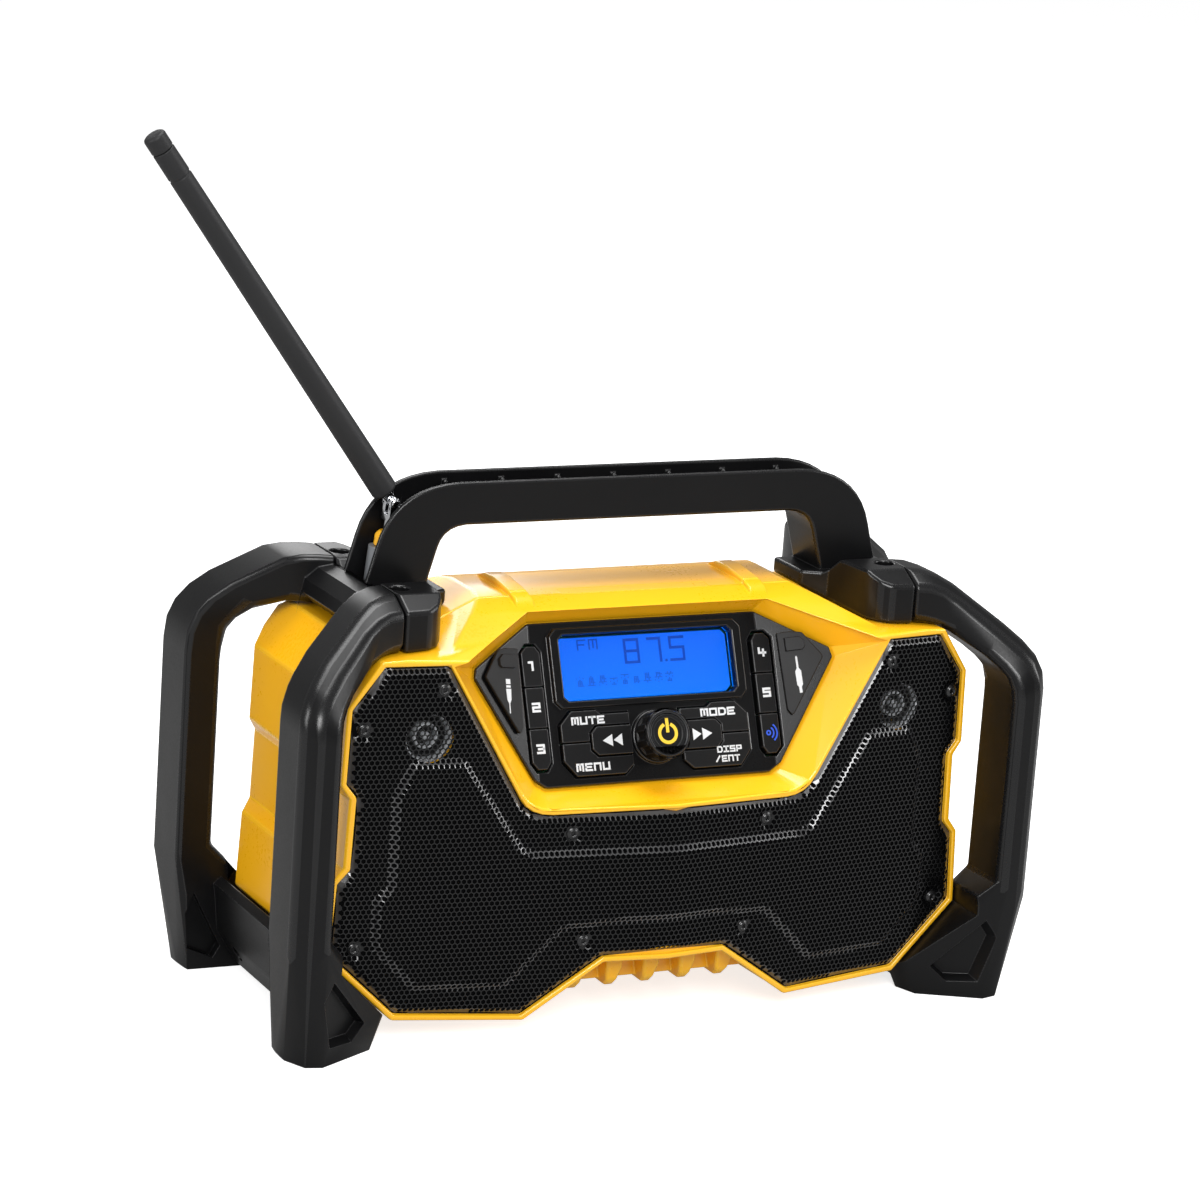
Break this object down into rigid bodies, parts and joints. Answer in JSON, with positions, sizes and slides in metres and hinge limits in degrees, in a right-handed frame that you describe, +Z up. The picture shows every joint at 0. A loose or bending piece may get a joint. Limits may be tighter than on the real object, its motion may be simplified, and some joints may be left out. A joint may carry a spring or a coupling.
{
  "type": "jobsite radio",
  "caption": "Portable jobsite radio in a protective roll cage, with a top handle, folding whip antenna, display panel with keys, and a wide speaker grille.",
  "frame": {"origin": "on the ground, midway between the four feet and in the radio's left-right mid-plane", "axes": "+X to the right seen from the front, -Y towards the front, +Z up"},
  "size_m": [0.4639, 0.194, 0.4369],
  "materials": {
    "yellow_shell": "glossy moulded plastic",
    "cage_black": "satin moulded plastic",
    "panel_black": "satin moulded plastic",
    "key_black": "satin keys with printed legends",
    "grille_black": "black powder coat",
    "screw_black": "blackened",
    "display_window": "clear",
    "display_blue": "backlit",
    "board_green": "circuit board",
    "seal_rubber": "matt",
    "steel": "plain",
    "chrome": "polished",
    "whip_rubber": "satin",
    "socket_grey": "satin",
    "inner_black": "plain",
    "flap_rubber": "matt",
    "basket_black": "pressed steel",
    "cone_paper": "coated paper",
    "magnet": "ferrite",
    "aluminium": "plain"
  },
  "bodies": {
    "radio_body": {"front_housing": "yellow_shell", "rear_housing": "yellow_shell", "housing_gasket": "seal_rubber", "housing_screws": "steel", "speaker_grille": "grille_black", "grille_screws": "screw_black", "control_panel": "panel_black", "lcd_lens": "display_window", "lcd_module": "display_blue", "keypad_board": "board_green", "tuning_encoder": "steel", "usb_socket": "steel", "aux_socket": "inner_black", "handle": "cage_black", "handle_screws": "screw_black", "left_roll_cage": "cage_black", "right_roll_cage": "cage_black", "cage_screws": "steel", "antenna_socket": "socket_grey", "antenna_collar": "yellow_shell", "antenna_fork": "chrome", "antenna_pin": "chrome", "door_hinge_pin": "steel", "battery_terminals": "inner_black", "power_inlet": "inner_black", "left_woofer_basket": "basket_black", "left_woofer_cone": "cone_paper", "left_woofer_magnet": "magnet", "right_woofer_basket": "basket_black", "right_woofer_cone": "cone_paper", "right_woofer_magnet": "magnet", "left_tweeter": "aluminium", "right_tweeter": "aluminium", "main_board": "board_green", "heat_sink": "aluminium"},
    "preset_key_1_body": {"preset_key_1": "key_black"},
    "preset_key_2_body": {"preset_key_2": "key_black"},
    "preset_key_3_body": {"preset_key_3": "key_black"},
    "preset_key_4_body": {"preset_key_4": "key_black"},
    "preset_key_5_body": {"preset_key_5": "key_black"},
    "source_key_body": {"source_key": "key_black"},
    "mute_key_body": {"mute_key": "key_black"},
    "menu_key_body": {"menu_key": "key_black"},
    "mode_key_body": {"mode_key": "key_black"},
    "display_key_body": {"display_key": "key_black"},
    "seek_down_key_body": {"seek_down_key": "key_black"},
    "seek_up_key_body": {"seek_up_key": "key_black"},
    "knob": {"tuning_knob": "key_black"},
    "power_button_body": {"power_button": "key_black"},
    "usb_flap": {"usb_door": "flap_rubber"},
    "aux_flap": {"aux_door": "flap_rubber"},
    "whip": {"antenna_whip": "whip_rubber", "antenna_tip": "whip_rubber"},
    "rear_door": {"battery_door": "yellow_shell", "latch_spring": "steel"},
    "latch": {"battery_latch": "cage_black"}
  },
  "joints": [
    {"name": "preset_key_1_press", "type": "slide", "parent": "radio_body", "child": "preset_key_1_body", "axis": [0, 0.918, -0.3967], "range_m": [0, 0.001], "stiffness_N_per_m": 400},
    {"name": "preset_key_2_press", "type": "slide", "parent": "radio_body", "child": "preset_key_2_body", "axis": [0, 0.918, -0.3967], "range_m": [0, 0.001], "stiffness_N_per_m": 400},
    {"name": "preset_key_3_press", "type": "slide", "parent": "radio_body", "child": "preset_key_3_body", "axis": [0, 0.918, -0.3967], "range_m": [0, 0.001], "stiffness_N_per_m": 400},
    {"name": "preset_key_4_press", "type": "slide", "parent": "radio_body", "child": "preset_key_4_body", "axis": [0, 0.918, -0.3967], "range_m": [0, 0.001], "stiffness_N_per_m": 400},
    {"name": "preset_key_5_press", "type": "slide", "parent": "radio_body", "child": "preset_key_5_body", "axis": [0, 0.918, -0.3967], "range_m": [0, 0.001], "stiffness_N_per_m": 400},
    {"name": "source_key_press", "type": "slide", "parent": "radio_body", "child": "source_key_body", "axis": [0, 0.918, -0.3967], "range_m": [0, 0.001], "stiffness_N_per_m": 400},
    {"name": "mute_key_press", "type": "slide", "parent": "radio_body", "child": "mute_key_body", "axis": [0, 0.918, -0.3967], "range_m": [0, 0.001], "stiffness_N_per_m": 400},
    {"name": "menu_key_press", "type": "slide", "parent": "radio_body", "child": "menu_key_body", "axis": [0, 0.918, -0.3967], "range_m": [0, 0.001], "stiffness_N_per_m": 400},
    {"name": "mode_key_press", "type": "slide", "parent": "radio_body", "child": "mode_key_body", "axis": [0, 0.918, -0.3967], "range_m": [0, 0.001], "stiffness_N_per_m": 400},
    {"name": "display_key_press", "type": "slide", "parent": "radio_body", "child": "display_key_body", "axis": [0, 0.918, -0.3967], "range_m": [0, 0.001], "stiffness_N_per_m": 400},
    {"name": "seek_down_key_press", "type": "slide", "parent": "radio_body", "child": "seek_down_key_body", "axis": [0, 0.918, -0.3967], "range_m": [0, 0.001], "stiffness_N_per_m": 400},
    {"name": "seek_up_key_press", "type": "slide", "parent": "radio_body", "child": "seek_up_key_body", "axis": [0, 0.918, -0.3967], "range_m": [0, 0.001], "stiffness_N_per_m": 400},
    {"name": "tuning_knob_turn", "type": "hinge", "parent": "radio_body", "child": "knob", "pos_m": [0, -0.0626, 0.14567], "axis": [0, -0.918, 0.3967], "continuous": true},
    {"name": "power_button_press", "type": "slide", "parent": "radio_body", "child": "power_button_body", "axis": [0, 0.918, -0.3967], "range_m": [0, 0.0008], "stiffness_N_per_m": 500},
    {"name": "aux_door_open", "type": "hinge", "parent": "radio_body", "child": "aux_flap", "pos_m": [0.07283, -0.04956, 0.17107], "axis": [0.0366, -0.3964, -0.9173], "range_deg": [0, 100], "stiffness_Nm_per_rad": 0.003},
    {"name": "usb_door_open", "type": "hinge", "parent": "radio_body", "child": "usb_flap", "pos_m": [-0.07283, -0.04956, 0.17107], "axis": [0.0366, 0.3964, 0.9173], "range_deg": [0, 100], "stiffness_Nm_per_rad": 0.003},
    {"name": "antenna_tilt", "type": "hinge", "parent": "radio_body", "child": "whip", "pos_m": [-0.1245, 0, 0.2545], "axis": [0, 1, 0], "range_deg": [-53.8, 126.2]},
    {"name": "battery_door_open", "type": "hinge", "parent": "radio_body", "child": "rear_door", "pos_m": [0, 0.0615, 0.036], "axis": [-1, 0, 0], "range_deg": [0, 95]},
    {"name": "battery_latch_slide", "type": "slide", "parent": "rear_door", "child": "latch", "axis": [0, 0, -1], "range_m": [0, 0.005], "stiffness_N_per_m": 400, "deforming": ["latch_spring"]}
  ]
}
